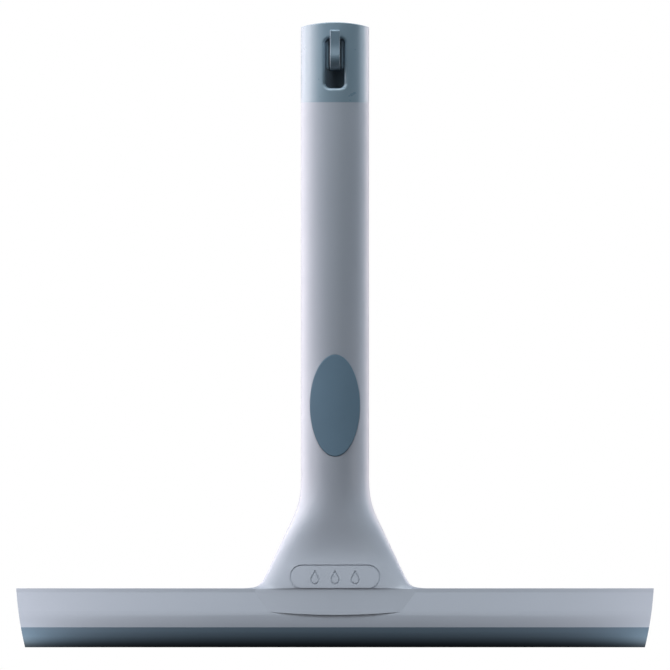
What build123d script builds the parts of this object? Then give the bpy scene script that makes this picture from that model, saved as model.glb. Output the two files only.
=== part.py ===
from build123d import *
import math
import os

# Window squeegee that hangs on its own wall hook. Millimetres. +Z is up and the front faces -Y.
# The wall is the plane Y = 0. The origin is the centre of the adhesive pad's wall face.

# Driving dimensions. Heights with no other word are measured up from the blade's wiping edge.
HOOK_PLATE_HEIGHT = 229.0
TUBE_Y = -17.6

TUBE_RADIUS = 13.55
WALL = 2.4
FIT = 0.05  # clearance between fixed pieces that fit one in another
TUBE_BOTTOM = 70.0
CAP_JOINT = 216.5
CAP_TOP = 248.3
CAP_VAULT_RADIUS = 53.0
CAP_EDGE = 0.35

BAR_TOP = 23.3
BAR_BOTTOM = 8.0
BAR_FRONT_BOTTOM = -22.45
BAR_REAR_TOP = -9.0
BAR_REAR_BOTTOM = -15.6
BAR_FACE_TILT = 22.0
BAR_FACE_BEND = 14.5
BAR_STRIP = 1.5
BAR_STRIP_TILT = 14.0
BAR_END_TOP = 126.6
BAR_END_MIDDLE = (124.85, 9.0)
BAR_END_BOTTOM = 123.05

NECK_SIDE_TILT = 25.4
NECK_FLARE_RADIUS = 33.0
NECK_FLARE_TOP = 65.5
NECK_WEB_RADIUS = 7.5
NECK_NOSE = 12.9
NECK_NOSE_RADIUS = 275.0

TONGUE_THICKNESS = 2.0
TONGUE_TOP = (-16.9, 16.4)
BEAD_SIZE = (4.2, 2.2)
BLADE_TIP_FRONT = (-19.8, 0.15)
BLADE_TIP_REAR = (-18.9, 0.0)
BLADE_HOLLOW = (-18.0, 3.6)

SLOT_WIDTH = 7.4
SLOT_BOTTOM = 222.1
SLOT_TOP = 241.9
SLOT_CORNER = 2.0
SLOT_LIP = 1.2
SLOT_WALL = 1.8

PAD_HEIGHT = 96.0
PAD_SIZE = (19.9, 40.5)
PAD_POCKET_DEPTH = 1.2
PAD_FACE_RADIUS = 22.0
PAD_PROUD = 0.1
PAD_EDGE = 0.35
PAD_GAP = 0.12
PAD_PEG_RADIUS = 1.5
PAD_PEG_OFFSETS = (-12.0, 12.0)

MARK_HEIGHT = 27.9
MARK_SIZE = (36.0, 9.8)
MARK_LINE = 0.5
MARK_DEPTH = 0.3
DROP_SIZE = 1.8
DROP_RISE = 2.2
DROP_PLACES = (-8.0, 0.0, 8.0)

HOOK_ARM_WIDTH = 6.6
HOOK_ARM_BOTTOM = 229.4
HOOK_ARM_TOP = 241.6
HOOK_ARM_SETBACK = 2.0
HOOK_ARM_CORNER = 1.6
HOOK_GROOVE = (0.6, 8.0)
HOOK_TIP_WIDTH = 4.0
HOOK_TIP_TOP = 245.3
HOOK_TIP_THICKNESS = 2.4
HOOK_TIP_GAP = 0.9
HOOK_SWEEP_TOP = 240.0
HOOK_TOE = (-1.1, 234.2)
HOOK_TOE_RADIUS = 5.0
HOOK_HEEL = 3.6
HOOK_EDGE = 0.4
HOOK_CREST = 0.8
HOOK_PLATE_SIZE = (24.0, 30.0)
HOOK_PLATE_THICKNESS = 2.5
HOOK_PLATE_CORNER = 4.0
HOOK_PLATE_BEVEL = 0.6
STICKY_THICKNESS = 1.0
STICKY_INSET = 0.5

HANDLE_SCREW_HEIGHTS = (46.0, 122.0, 196.0)
HANDLE_SCREW_RADIUS = 1.5
HANDLE_SCREW_LENGTH = 14.0
HANDLE_SCREW_HEAD = (2.8, 2.0)
HANDLE_SCREW_SINK = 3.0
BOSS_RADIUS = 3.9
HEAD_SCREW_PLACES = (-102.0, -54.0, 54.0, 102.0)
HEAD_SCREW_HEIGHT = 20.2
HEAD_SCREW_RADIUS = 1.1
HEAD_SCREW_LENGTH = 5.2
HEAD_SCREW_HEAD = (2.1, 1.5)
HEAD_SCREW_SINK = 0.8
SCREW_HEAD_GAP = 0.25

SEAL_HEIGHT = 209.5
SEAL_RADIUS = 0.44
SEAL_SIDE_GAP = 0.5
SPIGOT_LENGTH = 14.0
SPIGOT_WALL = 1.9

SECTION_POINTS = 36
OUT = 140.0  # half-length of a cutting block, past every side of the object


def up(height):
    """The Z of a height above the wiping edge."""
    return height - HOOK_PLATE_HEIGHT


def side_point(depth, height):
    """A point in the side view: depth is measured from the tube's axis, minus towards the front."""
    return (TUBE_Y + depth, up(height))


def side_prism(outline, half_length):
    """A side-view outline made solid to both sides of the middle."""
    face = Plane.YZ * make_face(outline)
    return extrude(face, amount=half_length, both=True)


def front_prism(face, near, far):
    """A front-view face made solid between two depths from the tube's axis."""
    placed = Plane(origin=(0, TUBE_Y + near, 0), x_dir=(1, 0, 0), z_dir=(0, -1, 0)) * face
    return extrude(placed, amount=near - far)


def upright_cylinder(radius, bottom, top):
    """A cylinder on the tube's axis between two heights."""
    cylinder = Cylinder(radius, top - bottom, align=(Align.CENTER, Align.CENTER, Align.MIN))
    return Pos(0, TUBE_Y, up(bottom)) * cylinder


def drilled(x, height, radius, near, far):
    """A front-to-rear cylinder between two depths from the tube's axis."""
    disc = Pos(x, up(height)) * Circle(radius)
    return front_prism(disc, near, far)


# --- Outside shape of the handle, neck and bar ---

def neck_half_width(height):
    """Half the neck's width: an arc out of the tube, a straight side, and a web onto the bar's top."""
    tilt = math.radians(NECK_SIDE_TILT)
    flare_end = NECK_FLARE_TOP - NECK_FLARE_RADIUS * math.sin(tilt)
    flare_width = TUBE_RADIUS + NECK_FLARE_RADIUS * (1 - math.cos(tilt))
    web_reach = NECK_WEB_RADIUS * math.tan((math.pi / 2 - tilt) / 2)
    web_start = BAR_TOP + web_reach * math.cos(tilt)
    web_centre = flare_width + (flare_end - BAR_TOP) * math.tan(tilt) + web_reach
    if height >= NECK_FLARE_TOP:
        return TUBE_RADIUS
    if height >= flare_end:
        drop = NECK_FLARE_TOP - height
        return TUBE_RADIUS + NECK_FLARE_RADIUS - math.sqrt(NECK_FLARE_RADIUS**2 - drop**2)
    if height >= web_start:
        return flare_width + (flare_end - height) * math.tan(tilt)
    rise = BAR_TOP + NECK_WEB_RADIUS - height
    return web_centre - math.sqrt(NECK_WEB_RADIUS**2 - rise**2)


# Height, front depth, rear depth and squareness of the neck's cross-sections above the bar.
NECK_STATIONS = [
    (66.0, -13.57, 13.3, 2.0),
    (60.0, -13.65, 12.2, 2.05),
    (54.0, -13.85, 10.2, 2.25),
    (48.0, -14.15, 7.4, 2.6),
    (42.0, -14.6, 4.0, 2.9),
    (38.5, -15.1, 1.9, 3.0),
    (35.0, -15.9, -0.2, 3.0),
    (32.0, -16.9, -2.1, 3.0),
    (29.0, -17.9, -4.0, 3.0),
    (26.0, -18.9, -5.8, 3.0),
    (23.7, -19.65, -7.3, 2.8),
]
# The same inside the bar, where the neck's swell fades into the bar's face: half-width comes last.
NECK_ROOTS = [
    (17.0, -21.1, -12.4, 2.5, 39.0),
    (10.0, -22.35, -15.9, 2.4, 36.0),
]


def rounded_section(height, half_width, front, rear, squareness):
    """A closed super-ellipse across the handle."""
    middle = TUBE_Y + (front + rear) / 2
    half_depth = (rear - front) / 2
    points = []
    for step in range(SECTION_POINTS):
        angle = 2 * math.pi * step / SECTION_POINTS
        across = math.copysign(abs(math.cos(angle)) ** (2 / squareness), math.cos(angle))
        along = math.copysign(abs(math.sin(angle)) ** (2 / squareness), math.sin(angle))
        points.append((half_width * across, middle + half_depth * along))
    # The same even spacing in every section keeps the lofted surface light.
    spacing = [step / SECTION_POINTS for step in range(SECTION_POINTS + 1)]
    outline = Edge.make_spline(points, periodic=True, parameters=spacing)
    return Pos(0, 0, up(height)) * make_face(outline)


def neck_solid(inset, lowest, with_roots):
    """The neck from the tube's end down, drawn in on every side by the inset."""
    sections = [Pos(0, TUBE_Y, up(TUBE_BOTTOM)) * Circle(TUBE_RADIUS - inset)]
    for height, front, rear, squareness in NECK_STATIONS:
        if height < lowest:
            continue
        half_width = neck_half_width(height) - inset
        sections.append(rounded_section(height, half_width, front + inset, rear - inset, squareness))
    if with_roots:
        for height, front, rear, squareness, half_width in NECK_ROOTS:
            sections.append(rounded_section(height, half_width, front, rear, squareness))
    return loft(sections)


def bar_outline():
    """The bar's side view: a steeper strip, a tilted face, and a bend back to upright at the foot."""
    tilt = math.radians(BAR_FACE_TILT)
    bend_radius = (BAR_FACE_BEND - BAR_BOTTOM) / math.sin(tilt)
    bend_depth = BAR_FRONT_BOTTOM + bend_radius * (1 - math.cos(tilt))
    strip_height = BAR_TOP - BAR_STRIP
    strip_depth = bend_depth + (strip_height - BAR_FACE_BEND) * math.tan(tilt)
    toe = side_point(BAR_FRONT_BOTTOM, BAR_BOTTOM)
    heel = side_point(BAR_REAR_BOTTOM, BAR_BOTTOM)
    bend = side_point(bend_depth, BAR_FACE_BEND)
    strip_set_back = BAR_STRIP * math.tan(math.radians(BAR_STRIP_TILT))
    strip_low = side_point(strip_depth, strip_height)
    strip_top = side_point(strip_depth + strip_set_back, BAR_TOP)
    rear_top = side_point(BAR_REAR_TOP, BAR_TOP)
    return [
        TangentArc(toe, bend, tangent=(0, 1)),
        Line(bend, strip_low),
        Line(strip_low, strip_top),
        Line(strip_top, rear_top),
        Line(rear_top, heel),
        Line(heel, toe),
    ]


def end_cut():
    """The block between the two curved ends, which the bar and the blade share."""
    outline = []
    for side in (1, -1):
        top = (side * BAR_END_TOP, up(BAR_TOP))
        middle = (side * BAR_END_MIDDLE[0], up(BAR_END_MIDDLE[1]))
        bottom = (side * BAR_END_BOTTOM, up(0))
        outline.append(ThreePointArc(top, middle, bottom))
    outline.append(Line((-BAR_END_TOP, up(BAR_TOP)), (BAR_END_TOP, up(BAR_TOP))))
    outline.append(Line((-BAR_END_BOTTOM, up(0)), (BAR_END_BOTTOM, up(0))))
    return front_prism(make_face(outline), 0, -OUT)


def bar_solid():
    """The head bar with its curved ends."""
    return side_prism(bar_outline(), OUT) & end_cut()


def neck_outside():
    """The neck, with its swell ending in a shallow curved crease on the bar's face."""
    nose_centre = up(NECK_NOSE + NECK_NOSE_RADIUS)
    nose = Pos(0, TUBE_Y, nose_centre) * Rot(90, 0, 0) * Cylinder(NECK_NOSE_RADIUS, 2 * OUT)
    return neck_solid(0, 0, True) & nose


def outer_solid():
    """The outside of the handle, neck and bar in one piece, before it's split into shells."""
    tube = upright_cylinder(TUBE_RADIUS, TUBE_BOTTOM, CAP_JOINT)
    return tube + neck_outside() + bar_solid()


# --- Inside of the handle ---

def handle_hollow():
    """The space inside the tube and neck, less the screw bosses and the seat below the thumb pad."""
    bore = upright_cylinder(TUBE_RADIUS - WALL, TUBE_BOTTOM, CAP_JOINT)
    hollow = bore + neck_solid(WALL, 25.0, False)
    for height in HANDLE_SCREW_HEIGHTS:
        hollow -= drilled(0, height, BOSS_RADIUS, OUT, -OUT)
    return hollow


def blade_room(clearance):
    """The blade's tongue and bead in side view, grown by the clearance."""
    foot = ((BAR_FRONT_BOTTOM + BAR_REAR_BOTTOM) / 2, BAR_BOTTOM)
    lean = math.atan2(TONGUE_TOP[0] - foot[0], TONGUE_TOP[1] - foot[1])
    length = math.hypot(TONGUE_TOP[0] - foot[0], TONGUE_TOP[1] - foot[1])
    tongue = Rectangle(TONGUE_THICKNESS + 2 * clearance, length + 2, align=(Align.CENTER, Align.MAX))
    bead = Rectangle(BEAD_SIZE[0] + 2 * clearance, BEAD_SIZE[1] + 2 * clearance)
    shape = tongue + Pos(0, clearance - BEAD_SIZE[1] / 2) * bead
    top = side_point(*TONGUE_TOP)
    placed = Pos(*top) * Rot(0, 0, -math.degrees(lean)) * shape
    above_foot = Pos(top[0], up(BAR_BOTTOM)) * Rectangle(20, 20, align=(Align.CENTER, Align.MIN))
    return extrude(Plane.YZ * (placed & above_foot), amount=OUT, both=True)


def rear_half():
    """Everything behind the shells' parting line, which runs from the tube's axis to the tongue."""
    foot_depth = (BAR_FRONT_BOTTOM + BAR_REAR_BOTTOM) / 2
    tongue_rise = TONGUE_TOP[1] - BAR_BOTTOM
    tongue_run = TONGUE_TOP[0] - foot_depth
    top = side_point(0, CAP_TOP + WALL)
    curve_start = side_point(0, NECK_FLARE_TOP)
    curve_end = side_point(*TONGUE_TOP)
    foot = side_point(foot_depth, BAR_BOTTOM)
    below = side_point(foot_depth, -WALL)
    outline = [
        Line(top, curve_start),
        Spline(curve_start, curve_end, tangents=[(0, -1), (-tongue_run, -tongue_rise)]),
        Line(curve_end, foot),
        Line(foot, below),
        Line(below, (OUT, below[1])),
        Line((OUT, below[1]), (OUT, top[1])),
        Line((OUT, top[1]), top),
    ]
    return side_prism(outline, 2 * OUT)


# --- Screws ---

def rear_depth(height):
    """Depth of the handle's rear surface on the middle line, where a screw head sinks in."""
    if height >= TUBE_BOTTOM:
        return TUBE_RADIUS
    above = [station for station in NECK_STATIONS if station[0] >= height][-1]
    below = [station for station in NECK_STATIONS if station[0] < height][0]
    share = (height - below[0]) / (above[0] - below[0])
    return below[2] + share * (above[2] - below[2])


def bar_rear_depth(height):
    """Depth of the bar's flat rear face."""
    share = (height - BAR_BOTTOM) / (BAR_TOP - BAR_BOTTOM)
    return BAR_REAR_BOTTOM + share * (BAR_REAR_TOP - BAR_REAR_BOTTOM)


def screw(x, height, under_head, radius, length, head):
    """A cross-recessed pan-head screw that points forwards."""
    head_radius, head_height = head
    shank = drilled(x, height, radius, under_head, under_head - length)
    cap = drilled(x, height, head_radius, under_head + head_height, under_head)
    cap = fillet(cap.edges().sort_by(Axis.Y)[-1], head_height * 0.45)
    bar_long, bar_wide = head_radius * 1.15, head_radius * 0.3
    cross = Rectangle(bar_long, bar_wide) + Rectangle(bar_wide, bar_long)
    recess = front_prism(Pos(x, up(height)) * cross, under_head + head_height, under_head + head_height * 0.4)
    return shank + cap - recess


def screw_room(x, height, under_head, radius, length, head):
    """The hole and counterbore that one screw needs."""
    hole = drilled(x, height, radius + FIT, under_head + 1, under_head - length - 0.5)
    mouth = drilled(x, height, head[0] + SCREW_HEAD_GAP, under_head + OUT, under_head)
    return hole + mouth


def handle_screw_places():
    """Position and sizes of each handle screw."""
    places = []
    for height in HANDLE_SCREW_HEIGHTS:
        under_head = rear_depth(height) - HANDLE_SCREW_HEAD[1] - HANDLE_SCREW_SINK
        sizes = (HANDLE_SCREW_RADIUS, HANDLE_SCREW_LENGTH, HANDLE_SCREW_HEAD)
        places.append((0, height, under_head, *sizes))
    return places


def head_screw_places():
    """Position and sizes of each bar screw."""
    under_head = bar_rear_depth(HEAD_SCREW_HEIGHT) - HEAD_SCREW_HEAD[1] - HEAD_SCREW_SINK
    sizes = (HEAD_SCREW_RADIUS, HEAD_SCREW_LENGTH, HEAD_SCREW_HEAD)
    places = []
    for x in HEAD_SCREW_PLACES:
        places.append((x, HEAD_SCREW_HEIGHT, under_head, *sizes))
    return places


# --- Surface details of the front shell ---

def pad_prism(gap, near, far):
    """The thumb pad's oval, grown by the gap and run between two depths."""
    oval = Pos(0, up(PAD_HEIGHT)) * Ellipse(PAD_SIZE[0] / 2 + gap, PAD_SIZE[1] / 2 + gap)
    return front_prism(oval, near, far)


def pad_band(inner, outer):
    """A ring round the tube's axis over the thumb pad's height."""
    low = PAD_HEIGHT - PAD_SIZE[1]
    high = PAD_HEIGHT + PAD_SIZE[1]
    return upright_cylinder(outer, low, high) - upright_cylinder(inner, low, high)


def droplet(x, size):
    """A water drop, point upwards: a circle and the two lines that touch it from the point."""
    rise = size * DROP_RISE
    touch_height = size**2 / rise
    touch_width = math.sqrt(size**2 - touch_height**2)
    point = Polygon((-touch_width, touch_height), (touch_width, touch_height), (0, rise), align=None)
    return Pos(x, up(MARK_HEIGHT) - DROP_SIZE * (DROP_RISE - 1) / 2) * (Circle(size) + point)


def mark_face():
    """A plain pill-shaped outline with the outlines of three water drops in it."""
    width, height = MARK_SIZE
    inner_width, inner_height = width - 2 * MARK_LINE, height - 2 * MARK_LINE
    middle = Pos(0, up(MARK_HEIGHT))
    face = middle * RectangleRounded(width, height, height / 2 - 0.01)
    face -= middle * RectangleRounded(inner_width, inner_height, inner_height / 2 - 0.01)
    for x in DROP_PLACES:
        face += droplet(x, DROP_SIZE) - droplet(x, DROP_SIZE - MARK_LINE)
    return face


def mark_cut():
    """The shallow engraving, the same depth all over the curved front."""
    neck = neck_solid(0, 0, True)
    return (front_prism(mark_face(), -TUBE_RADIUS, -2 * TUBE_RADIUS) & neck) - Pos(0, MARK_DEPTH, 0) * neck


# --- Pieces ---

def make_shells(outer):
    """The front and rear shells, which clamp the blade's tongue between them."""
    body = outer - handle_hollow() - blade_room(FIT)
    for place in handle_screw_places() + head_screw_places():
        body -= screw_room(*place)
    rear_block = rear_half()
    front = body - rear_block
    rear = body & rear_block
    front -= pad_prism(PAD_GAP, -8, -20) & pad_band(TUBE_RADIUS - PAD_POCKET_DEPTH, TUBE_RADIUS + 1)
    for offset in PAD_PEG_OFFSETS:
        front -= drilled(0, PAD_HEIGHT + offset, PAD_PEG_RADIUS + FIT, -8, -20)
    front -= mark_cut()
    return front, rear


def make_thumb_pad():
    """The soft oval, flatter than the tube and proud of it at the sides, with two pegs through its seat."""
    floor = TUBE_RADIUS - PAD_POCKET_DEPTH
    face_axis = TUBE_Y - TUBE_RADIUS - PAD_PROUD + PAD_FACE_RADIUS
    face = Cylinder(PAD_FACE_RADIUS, 2 * PAD_SIZE[1])
    pad = pad_prism(0, -8, -20) & (Pos(0, face_axis, up(PAD_HEIGHT)) * face)
    pad -= upright_cylinder(floor, PAD_HEIGHT - PAD_SIZE[1], PAD_HEIGHT + PAD_SIZE[1])
    rim = pad.edges().filter_by(lambda edge: edge.is_closed).sort_by(Axis.Y)[0]
    pad = fillet(rim, PAD_EDGE)
    for offset in PAD_PEG_OFFSETS:
        pad += drilled(0, PAD_HEIGHT + offset, PAD_PEG_RADIUS, -floor + 1.9, -floor - 0.3)
    return pad


def make_blade():
    """The rubber blade: a hooked lip flush with the bar, and a beaded tongue held in it."""
    toe = side_point(BAR_FRONT_BOTTOM, BAR_BOTTOM)
    heel = side_point(BAR_REAR_BOTTOM, BAR_BOTTOM)
    tip_front = side_point(*BLADE_TIP_FRONT)
    tip_rear = side_point(*BLADE_TIP_REAR)
    outline = [
        TangentArc(toe, tip_front, tangent=(0, -1)),
        Line(tip_front, tip_rear),
        ThreePointArc(tip_rear, side_point(*BLADE_HOLLOW), heel),
        Line(heel, toe),
    ]
    blade = (side_prism(outline, OUT) + blade_room(0)) & end_cut()
    return blade


def slot_face(grow):
    """The hanging slot in front view, grown on every side."""
    width = SLOT_WIDTH + 2 * grow
    height = SLOT_TOP - SLOT_BOTTOM + 2 * grow
    middle = Pos(0, up((SLOT_TOP + SLOT_BOTTOM) / 2))
    return middle * RectangleRounded(width, height, SLOT_CORNER + grow)


def cap_vault(drop):
    """The block under the cap's vaulted top, lowered by the drop."""
    centre = up(CAP_TOP - drop) - CAP_VAULT_RADIUS
    return Pos(0, TUBE_Y, centre) * Rot(90, 0, 0) * Cylinder(CAP_VAULT_RADIUS, 4 * TUBE_RADIUS)


def cap_outside():
    """The end cap's cylinder with its vaulted top, and a small radius round the rim."""
    cap = upright_cylinder(TUBE_RADIUS, CAP_JOINT, CAP_TOP + 1) & cap_vault(0)
    rim = [edge for edge in cap.edges() if edge.center().Z > up(CAP_TOP) - 3]
    return fillet(rim, CAP_EDGE)


def make_end_cap():
    """The cap: a spigot into the tube, and a slot from front to rear with rounded lips."""
    bore = TUBE_RADIUS - WALL
    inner = bore - SPIGOT_WALL
    cap = cap_outside() - front_prism(slot_face(0), 20, -20)
    mouths = [edge for edge in cap.edges() if on_slot_mouth(edge)]
    cap = fillet(mouths, SLOT_LIP)
    hollow = upright_cylinder(inner, CAP_JOINT - 1, CAP_TOP) & cap_vault(WALL)
    hollow -= front_prism(slot_face(SLOT_WALL), 20, -20)
    spigot = upright_cylinder(bore - FIT, CAP_JOINT - SPIGOT_LENGTH, CAP_JOINT)
    spigot -= upright_cylinder(inner, CAP_JOINT - SPIGOT_LENGTH - 1, CAP_JOINT + 1)
    groove_half = SEAL_RADIUS + SEAL_SIDE_GAP
    groove = upright_cylinder(TUBE_RADIUS, SEAL_HEIGHT - groove_half, SEAL_HEIGHT + groove_half)
    groove -= upright_cylinder(bore - 2 * SEAL_RADIUS - FIT, CAP_JOINT - SPIGOT_LENGTH, CAP_JOINT)
    return cap - hollow + spigot - groove


def on_slot_mouth(edge):
    """Whether an edge lies where the slot breaks out through the cap's round side."""
    middle = edge.center()
    inside_width = abs(middle.X) < SLOT_WIDTH / 2 + 0.01
    inside_height = up(SLOT_BOTTOM) - 0.01 < middle.Z < up(SLOT_TOP) + 0.01
    return inside_width and inside_height and abs(middle.Y - TUBE_Y) > TUBE_RADIUS - 1


def make_cap_seal():
    """The rubber ring in the spigot's groove, just short of the tube's bore."""
    ring = Torus(TUBE_RADIUS - WALL - SEAL_RADIUS - FIT / 2, SEAL_RADIUS)
    return Pos(0, TUBE_Y, up(SEAL_HEIGHT)) * ring


def hook_blade():
    """The hook's middle: an arm that turns up into a tip, swept forwards at its rounded toe."""
    root = -STICKY_THICKNESS - HOOK_PLATE_THICKNESS
    tip_rear = TUBE_Y - TUBE_RADIUS - HOOK_TIP_GAP
    tip_front = tip_rear - HOOK_TIP_THICKNESS
    heel = (tip_front + HOOK_HEEL, up(HOOK_ARM_BOTTOM))
    toe = (tip_front + HOOK_TOE[0], up(HOOK_TOE[1]))
    sweep = (tip_front, up(HOOK_SWEEP_TOP))
    crown = (tip_front, up(HOOK_TIP_TOP))
    crown_rear = (tip_rear, up(HOOK_TIP_TOP))
    seat = (tip_rear, up(HOOK_ARM_TOP))
    root_top = (root, up(HOOK_ARM_TOP))
    root_bottom = (root, up(HOOK_ARM_BOTTOM))
    outline = [
        Line(root_bottom, heel),
        TangentArc(heel, toe, tangent=(-1, 0)),
        TangentArc(sweep, toe, tangent=(0, -1)),
        Line(sweep, crown),
        Line(crown, crown_rear),
        Line(crown_rear, seat),
        Line(seat, root_top),
        Line(root_top, root_bottom),
    ]
    blade = side_prism(outline, HOOK_TIP_WIDTH / 2)
    toe_edge = blade.edges().filter_by(Axis.X).sort_by(Axis.Y)[0]
    blade = fillet(toe_edge, HOOK_TOE_RADIUS)
    crest = blade.edges().filter_by(Axis.X).group_by(Axis.Z)[-1]
    blade = fillet(crest, HOOK_CREST)
    rim = []
    for edge in blade.edges():
        middle = edge.center()
        on_tip = middle.Y < tip_rear and middle.Z > up(HOOK_ARM_BOTTOM + 0.2)
        if on_tip and abs(middle.X) > HOOK_TIP_WIDTH / 4:
            rim.append(edge)
    return fillet(rim, HOOK_EDGE)


def hook_arm():
    """The arm's two side rails, joined behind the grooves that part them from the middle."""
    root = -STICKY_THICKNESS - HOOK_PLATE_THICKNESS
    length = root - (TUBE_Y - TUBE_RADIUS + HOOK_ARM_SETBACK)
    height = HOOK_ARM_TOP - HOOK_ARM_BOTTOM
    arm = Box(HOOK_ARM_WIDTH, length, height, align=(Align.CENTER, Align.MAX, Align.MIN))
    arm = fillet(arm.edges().filter_by(Axis.Y), HOOK_ARM_CORNER)
    groove_width, groove_depth = HOOK_GROOVE
    for side in (1, -1):
        groove = Box(groove_width, groove_depth, 2 * height)
        arm -= Pos(side * (HOOK_TIP_WIDTH + groove_width) / 2, groove_depth / 2 - length, height / 2) * groove
    return Pos(0, root, up(HOOK_ARM_BOTTOM)) * arm


def make_wall_hook():
    """The wall hook: a plate hidden behind the tube, an arm through the slot, and an upturned tip."""
    wall_side = Plane(origin=(0, -STICKY_THICKNESS, 0), x_dir=(1, 0, 0), z_dir=(0, -1, 0))
    plate = extrude(wall_side * RectangleRounded(*HOOK_PLATE_SIZE, HOOK_PLATE_CORNER), HOOK_PLATE_THICKNESS)
    plate = chamfer(plate.edges().group_by(Axis.Y)[0], HOOK_PLATE_BEVEL)
    return plate + hook_arm() + hook_blade()


def make_adhesive_pad():
    """The sticky foam pad between the hook's plate and the wall."""
    width, height = HOOK_PLATE_SIZE
    corner = HOOK_PLATE_CORNER - STICKY_INSET
    pad = RectangleRounded(width - 2 * STICKY_INSET, height - 2 * STICKY_INSET, corner)
    wall_plane = Plane(origin=(0, 0, 0), x_dir=(1, 0, 0), z_dir=(0, -1, 0))
    return extrude(wall_plane * pad, STICKY_THICKNESS)


def main():
    """Write one STEP file for each piece."""
    front, rear = make_shells(outer_solid())
    pieces = {
        "wall_hook": make_wall_hook(),
        "adhesive_pad": make_adhesive_pad(),
        "end_cap": make_end_cap(),
        "cap_seal": make_cap_seal(),
        "front_shell": front,
        "rear_shell": rear,
        "thumb_pad": make_thumb_pad(),
        "wiper_blade": make_blade(),
        "head_screws": Compound(children=[screw(*place) for place in head_screw_places()]),
        "handle_screws": Compound(children=[screw(*place) for place in handle_screw_places()]),
    }
    os.makedirs("parts", exist_ok=True)
    for name, piece in pieces.items():
        export_step(piece, f"parts/{name}.step")


main()
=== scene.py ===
import math

import bpy
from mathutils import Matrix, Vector


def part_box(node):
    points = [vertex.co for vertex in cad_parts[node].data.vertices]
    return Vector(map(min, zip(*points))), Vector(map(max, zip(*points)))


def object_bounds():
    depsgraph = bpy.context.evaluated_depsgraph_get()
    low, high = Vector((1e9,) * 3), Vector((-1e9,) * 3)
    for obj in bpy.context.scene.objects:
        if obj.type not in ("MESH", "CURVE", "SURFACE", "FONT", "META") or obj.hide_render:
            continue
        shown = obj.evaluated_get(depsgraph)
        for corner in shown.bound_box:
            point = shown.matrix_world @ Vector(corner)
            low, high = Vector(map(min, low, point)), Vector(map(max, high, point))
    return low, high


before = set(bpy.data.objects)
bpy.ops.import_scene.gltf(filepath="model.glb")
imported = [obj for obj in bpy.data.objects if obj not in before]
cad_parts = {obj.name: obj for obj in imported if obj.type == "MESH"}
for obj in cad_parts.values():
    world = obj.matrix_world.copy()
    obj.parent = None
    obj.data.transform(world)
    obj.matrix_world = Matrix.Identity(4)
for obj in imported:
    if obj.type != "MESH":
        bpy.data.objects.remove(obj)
cad_low, cad_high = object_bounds()

# Places and sizes in metres, worked out from the frame.
EDGE_Z = cad_low.z
TUBE_LOW, TUBE_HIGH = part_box("cap_seal")
TUBE_Y = (TUBE_LOW[1] + TUBE_HIGH[1]) / 2
FRONT_Y = cad_low.y
HEAD_WIDTH = cad_high.x - cad_low.x
FLOOR_DROP = 0.09
FLOOR_HALF = 4.0
FLOOR_COLOUR = (0.06, 0.06, 0.06)
FLOOR_GLOW_COLOUR = (0.96, 0.98, 1.0)
FLOOR_GLOW = 0.85
WORLD_GLOW = 0.02
AIM = Vector((0, TUBE_Y, EDGE_Z + 0.124))
VIEW_WIDTH = 0.2667
SENSOR_WIDTH = 36.0
LENS = 1000.0
CAMERA_DISTANCE = VIEW_WIDTH * LENS / SENSOR_WIDTH

# Light colours: a faint blue from the front and a faint lilac from behind.
FRONT_TINT = (0.86, 0.95, 1.0)
SIDE_TINT = (1.0, 0.94, 0.97)
REAR_TINT = (1.0, 0.91, 0.955)
BLUE_TINT = (0.8, 0.9, 1.0)

# Softboxes: name, azimuth, elevation, distance, width and height, watts and colour.
TALL = (0.5, 0.7)
SOFTBOXES = [
    ("left_front", -60, 32, 0.75, TALL, 1.0, FRONT_TINT),
    ("left_side", -85, 30, 0.75, TALL, 3.1, SIDE_TINT),
    ("left_rim", -110, 8, 0.75, TALL, 3.5, SIDE_TINT),
    ("left_back", -140, 8, 0.75, TALL, 2.8, REAR_TINT),
    ("right_rim", 110, 8, 0.75, TALL, 2.0, BLUE_TINT),
    ("right_back", 140, 8, 0.75, TALL, 2.8, REAR_TINT),
    ("overhead", 0, 75, 0.8, (0.9, 0.4), 6.9, FRONT_TINT),
    ("high_front", 0, 28, 1.0, (0.9, 0.25), 1.5, FRONT_TINT),
]

# The side and watts of each end light, and the share of it that the blade's corner light has.
END_POWERS = [(-1, 0.09), (1, 0.075)]
LIP_SHARE = 0.09


# --- Material helpers ---

def new_material(name):
    """An empty node material with a principled shader, and the shader."""
    material = bpy.data.materials.new(name)
    material.use_nodes = True
    shader = material.node_tree.nodes["Principled BSDF"]
    return material, shader


def node(material, kind, **inputs):
    """A node with some of its inputs set; underscores in a name stand for spaces."""
    made = material.node_tree.nodes.new(kind)
    for name, value in inputs.items():
        made.inputs[name.replace("_", " ")].default_value = value
    return made


def link(material, source, output, target, socket):
    material.node_tree.links.new(source.outputs[output], target.inputs[socket])


def object_place(material, stretch=(1, 1, 1)):
    """Object coordinates, stretched along the row axes."""
    place = node(material, "ShaderNodeTexCoord")
    mapping = node(material, "ShaderNodeMapping", Scale=stretch)
    link(material, place, "Object", mapping, "Vector")
    return mapping


def noise(material, scale, detail, stretch=(1, 1, 1)):
    made = node(material, "ShaderNodeTexNoise", Scale=scale, Detail=detail)
    link(material, object_place(material, stretch), "Vector", made, "Vector")
    return made


def ramp(material, source, stops):
    """A colour ramp over a factor; stops are (place, colour)."""
    made = node(material, "ShaderNodeValToRGB")
    elements = made.color_ramp.elements
    elements[0].position, elements[0].color = stops[0]
    elements[1].position, elements[1].color = stops[-1]
    for place, colour in stops[1:-1]:
        elements.new(place).color = colour
    link(material, source, 0, made, "Fac")
    return made


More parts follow.
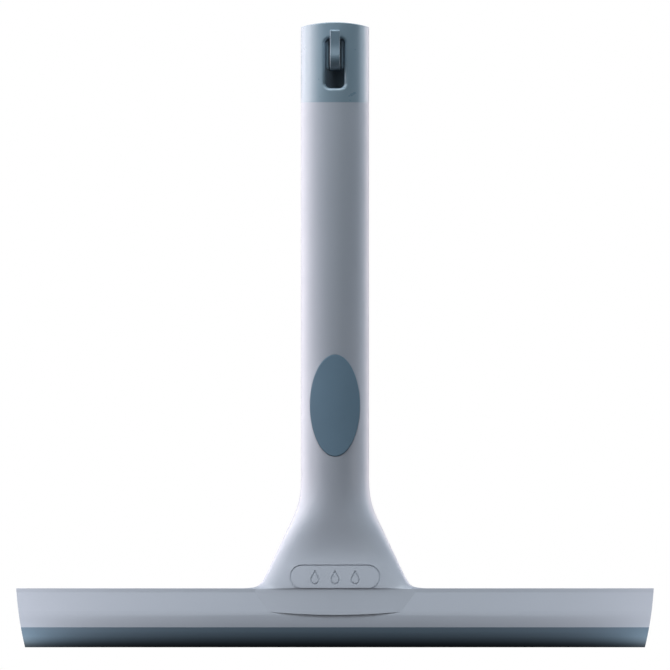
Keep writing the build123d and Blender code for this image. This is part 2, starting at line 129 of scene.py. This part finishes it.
def varied_colour(material, shader, colour, spread, scale):
    """A base colour that drifts a little lighter and darker over the surface."""
    low = [channel * (1 - spread) for channel in colour] + [1]
    high = [min(channel * (1 + spread), 1) for channel in colour] + [1]
    drift = ramp(material, noise(material, scale, 4.0), [(0.3, low), (0.7, high)])
    link(material, drift, "Color", shader, "Base Color")


def varied_roughness(material, shader, low, high, scale, stretch=(1, 1, 1)):
    """A roughness that wanders between two values."""
    drift = node(
        material, "ShaderNodeMapRange", From_Min=0.3, From_Max=0.7, To_Min=low, To_Max=high
    )
    link(material, noise(material, scale, 5.0, stretch), "Fac", drift, "Value")
    link(material, drift, "Result", shader, "Roughness")


def bumps(material, shader, layers):
    """Stacked bumps; each layer is a height node, its output's name and its height in metres."""
    previous = None
    for source, output, height in layers:
        bump = node(material, "ShaderNodeBump", Strength=1.0, Distance=height)
        link(material, source, output, bump, "Height")
        if previous:
            link(material, previous, "Normal", bump, "Normal")
        previous = bump
    link(material, previous, "Normal", shader, "Normal")


# --- Materials ---

def satin_plastic(name, colour, grain, roughness, specular):
    """Moulded plastic with a fine spark-eroded grain."""
    material, shader = new_material(name)
    varied_colour(material, shader, colour, 0.015, 22.0)
    varied_roughness(material, shader, *roughness, 160.0)
    shader.inputs["Specular IOR Level"].default_value = specular
    fine = noise(material, 5200.0, 2.0)
    soft = noise(material, 900.0, 2.0)
    bumps(material, shader, [(fine, "Fac", grain), (soft, "Fac", grain * 1.2)])
    return material


def soft_rubber(name, colour, specular):
    """Matt soft-touch rubber."""
    material, shader = new_material(name)
    varied_colour(material, shader, colour, 0.04, 35.0)
    varied_roughness(material, shader, 0.58, 0.7, 240.0)
    shader.inputs["Specular IOR Level"].default_value = specular
    shader.inputs["Diffuse Roughness"].default_value = 1.0
    shader.inputs["Sheen Weight"].default_value = 0.05
    shader.inputs["Sheen Roughness"].default_value = 0.4
    fine = noise(material, 4200.0, 2.0)
    pores = noise(material, 1100.0, 3.0)
    bumps(material, shader, [(fine, "Fac", 0.000008), (pores, "Fac", 0.000012)])
    return material


def height_share(material, low, high):
    """How far up a point is between two heights, from 0 to 1."""
    place = node(material, "ShaderNodeTexCoord")
    split = node(material, "ShaderNodeSeparateXYZ")
    link(material, place, "Object", split, "Vector")
    share = node(material, "ShaderNodeMapRange", From_Min=low, From_Max=high)
    link(material, split, "Z", share, "Value")
    return share


def blade_rubber():
    """Extruded rubber with faint long lines, its colour darkened towards the wiping edge as
    painted shade.
    """
    material, shader = new_material("blade_rubber")
    # Painted shade: the base colour grows darker towards the wiping edge.
    share = height_share(material, EDGE_Z, EDGE_Z + BLADE_LIP)
    stops = []
    for place, strength in BLADE_PAINTED_SHADE:
        stops.append((place, [channel * strength for channel in BLADE_COLOUR] + [1]))
    link(material, ramp(material, share, stops), "Color", shader, "Base Color")
    varied_roughness(material, shader, 0.45, 0.58, 240.0, BLADE_STRETCH)
    shader.inputs["Specular IOR Level"].default_value = 0.4
    fine = noise(material, 4200.0, 2.0)
    lines = noise(material, 700.0, 2.0, BLADE_STRETCH)
    bumps(material, shader, [(fine, "Fac", 0.000008), (lines, "Fac", 0.000012)])
    return material


def stainless():
    """Turned stainless steel."""
    material, shader = new_material("stainless_steel")
    shader.inputs["Metallic"].default_value = 1.0
    varied_colour(material, shader, (0.62, 0.61, 0.59), 0.05, 400.0)
    varied_roughness(material, shader, 0.22, 0.4, 900.0, (1, 0.1, 1))
    bumps(material, shader, [(noise(material, 3000.0, 2.0), "Fac", 0.000004)])
    return material


def foam():
    """White closed-cell foam tape."""
    material, shader = new_material("foam_tape")
    varied_colour(material, shader, (0.72, 0.73, 0.72), 0.05, 300.0)
    varied_roughness(material, shader, 0.8, 0.95, 500.0)
    cells = node(material, "ShaderNodeTexVoronoi", Scale=2600.0)
    link(material, object_place(material), "Vector", cells, "Vector")
    bumps(material, shader, [(cells, "Distance", 0.00006)])
    return material


SHELL_COLOUR = (0.42, 0.445, 0.50)
CAP_COLOUR = (0.235, 0.32, 0.385)
HOOK_COLOUR = (0.16, 0.225, 0.28)
PAD_COLOUR = (0.205, 0.31, 0.405)
BLADE_COLOUR = (0.142, 0.20, 0.256)
SEAL_COLOUR = (0.02, 0.02, 0.02)

# The blade's lip, the painted shade on its colour from the wiping edge up (the down-facing tip
# darkest), and how its marks are drawn out along it.
BLADE_LIP = 0.008
BLADE_PAINTED_SHADE = [(0.0, 0.08), (0.15, 0.22), (0.34, 0.58), (0.55, 0.92), (0.8, 1.0)]
BLADE_STRETCH = (0.02, 1, 1)


def dress(name, material):
    """Give a CAD node its material."""
    thing = bpy.data.objects[name]
    thing.data.materials.clear()
    thing.data.materials.append(material)


def dress_all():
    shell = satin_plastic("shell_satin", SHELL_COLOUR, 0.000006, (0.34, 0.42), 0.5)
    cap = satin_plastic("cap_satin", CAP_COLOUR, 0.000006, (0.27, 0.35), 1.0)
    hook = satin_plastic("hook_satin", HOOK_COLOUR, 0.000004, (0.3, 0.38), 0.7)
    steel = stainless()
    dress("front_shell", shell)
    dress("rear_shell", shell)
    dress("end_cap", cap)
    dress("wall_hook", hook)
    dress("thumb_pad", soft_rubber("pad_soft_touch", PAD_COLOUR, 0.2))
    dress("wiper_blade", blade_rubber())
    dress("cap_seal", soft_rubber("seal_rubber", SEAL_COLOUR, 0.4))
    dress("head_screws", steel)
    dress("handle_screws", steel)
    dress("adhesive_pad", foam())


# --- Stage, lights and camera ---

def add_floor():
    """A plain pale floor below the hanging object, mostly lit by itself so that it is even."""
    material, shader = new_material("pale_floor")
    shader.inputs["Base Color"].default_value = (*FLOOR_COLOUR, 1)
    shader.inputs["Roughness"].default_value = 0.9
    shader.inputs["Specular IOR Level"].default_value = 0.0
    shader.inputs["Emission Color"].default_value = (*FLOOR_GLOW_COLOUR, 1)
    shader.inputs["Emission Strength"].default_value = FLOOR_GLOW
    mesh = bpy.data.meshes.new("floor")
    z = EDGE_Z - FLOOR_DROP
    half = FLOOR_HALF
    corners = [(-half, -half, z), (half, -half, z), (half, half, z), (-half, half, z)]
    mesh.from_pydata(corners, [], [(0, 1, 2, 3)])
    mesh.materials.append(material)
    floor = bpy.data.objects.new("floor", mesh)
    floor.visible_diffuse = False
    floor.visible_glossy = False
    bpy.context.collection.objects.link(floor)


def add_world():
    """White to the camera, and a faint even glow for everything else."""
    world = bpy.data.worlds.new("studio")
    bpy.context.scene.world = world
    world.use_nodes = True
    nodes = world.node_tree.nodes
    links = world.node_tree.links
    glow = nodes["Background"]
    glow.inputs["Color"].default_value = (0.95, 0.97, 1.0, 1)
    glow.inputs["Strength"].default_value = WORLD_GLOW
    seen = nodes.new("ShaderNodeBackground")
    seen.inputs["Color"].default_value = (1, 1, 1, 1)
    path = nodes.new("ShaderNodeLightPath")
    mix = nodes.new("ShaderNodeMixShader")
    links.new(path.outputs["Is Camera Ray"], mix.inputs["Fac"])
    links.new(glow.outputs["Background"], mix.inputs[1])
    links.new(seen.outputs["Background"], mix.inputs[2])
    links.new(mix.outputs["Shader"], nodes["World Output"].inputs["Surface"])


def add_box_light(name, place, target, size, power, colour):
    """A rectangular area light at a place, facing a target, that the camera doesn't see."""
    light = bpy.data.lights.new(name, "AREA")
    light.shape = "RECTANGLE"
    light.size, light.size_y = size
    light.energy = power
    light.color = colour
    holder = bpy.data.objects.new(name, light)
    holder.location = place
    holder.rotation_euler = (target - place).to_track_quat("-Z", "Y").to_euler()
    holder.visible_camera = False
    bpy.context.collection.objects.link(holder)


def add_softbox(name, azimuth, elevation, distance, size, power, colour):
    """A softbox aimed at the object's middle; azimuth 0 is the front and 90 is the right."""
    turn, lift = math.radians(azimuth), math.radians(elevation)
    level = math.cos(lift)
    out = Vector((math.sin(turn) * level, -math.cos(turn) * level, math.sin(lift)))
    add_box_light(name, AIM + out * distance, AIM, size, power, colour)


def add_end_lights():
    """Two small lights at each end: one on the bar's face and one on the blade's corner."""
    for side, power in END_POWERS:
        place = Vector((side * HEAD_WIDTH * 0.79, FRONT_Y - 0.05, EDGE_Z + 0.02))
        target = Vector((side * HEAD_WIDTH * 0.45, FRONT_Y, EDGE_Z + 0.01))
        add_box_light("end_glow", place, target, (0.06, 0.1), power, SIDE_TINT)
        place = Vector((side * (HEAD_WIDTH / 2 + 0.006), FRONT_Y - 0.01, EDGE_Z - 0.013))
        target = Vector((side * HEAD_WIDTH * 0.485, FRONT_Y + 0.003, EDGE_Z + 0.004))
        add_box_light("lip_glow", place, target, (0.01, 0.01), power * LIP_SHARE, FRONT_TINT)


def add_lights():
    for softbox in SOFTBOXES:
        add_softbox(*softbox)
    add_end_lights()


def add_camera():
    """A long lens straight on to the front."""
    camera = bpy.data.cameras.new("camera")
    camera.lens = LENS
    camera.sensor_width = SENSOR_WIDTH
    camera.clip_end = 50.0
    holder = bpy.data.objects.new("camera", camera)
    holder.location = AIM + Vector((0, -CAMERA_DISTANCE, 0))
    holder.rotation_euler = (math.radians(90), 0, 0)
    bpy.context.collection.objects.link(holder)
    bpy.context.scene.camera = holder
    bpy.context.scene.view_settings.view_transform = "Standard"


dress_all()
add_floor()
add_world()
add_lights()
add_camera()
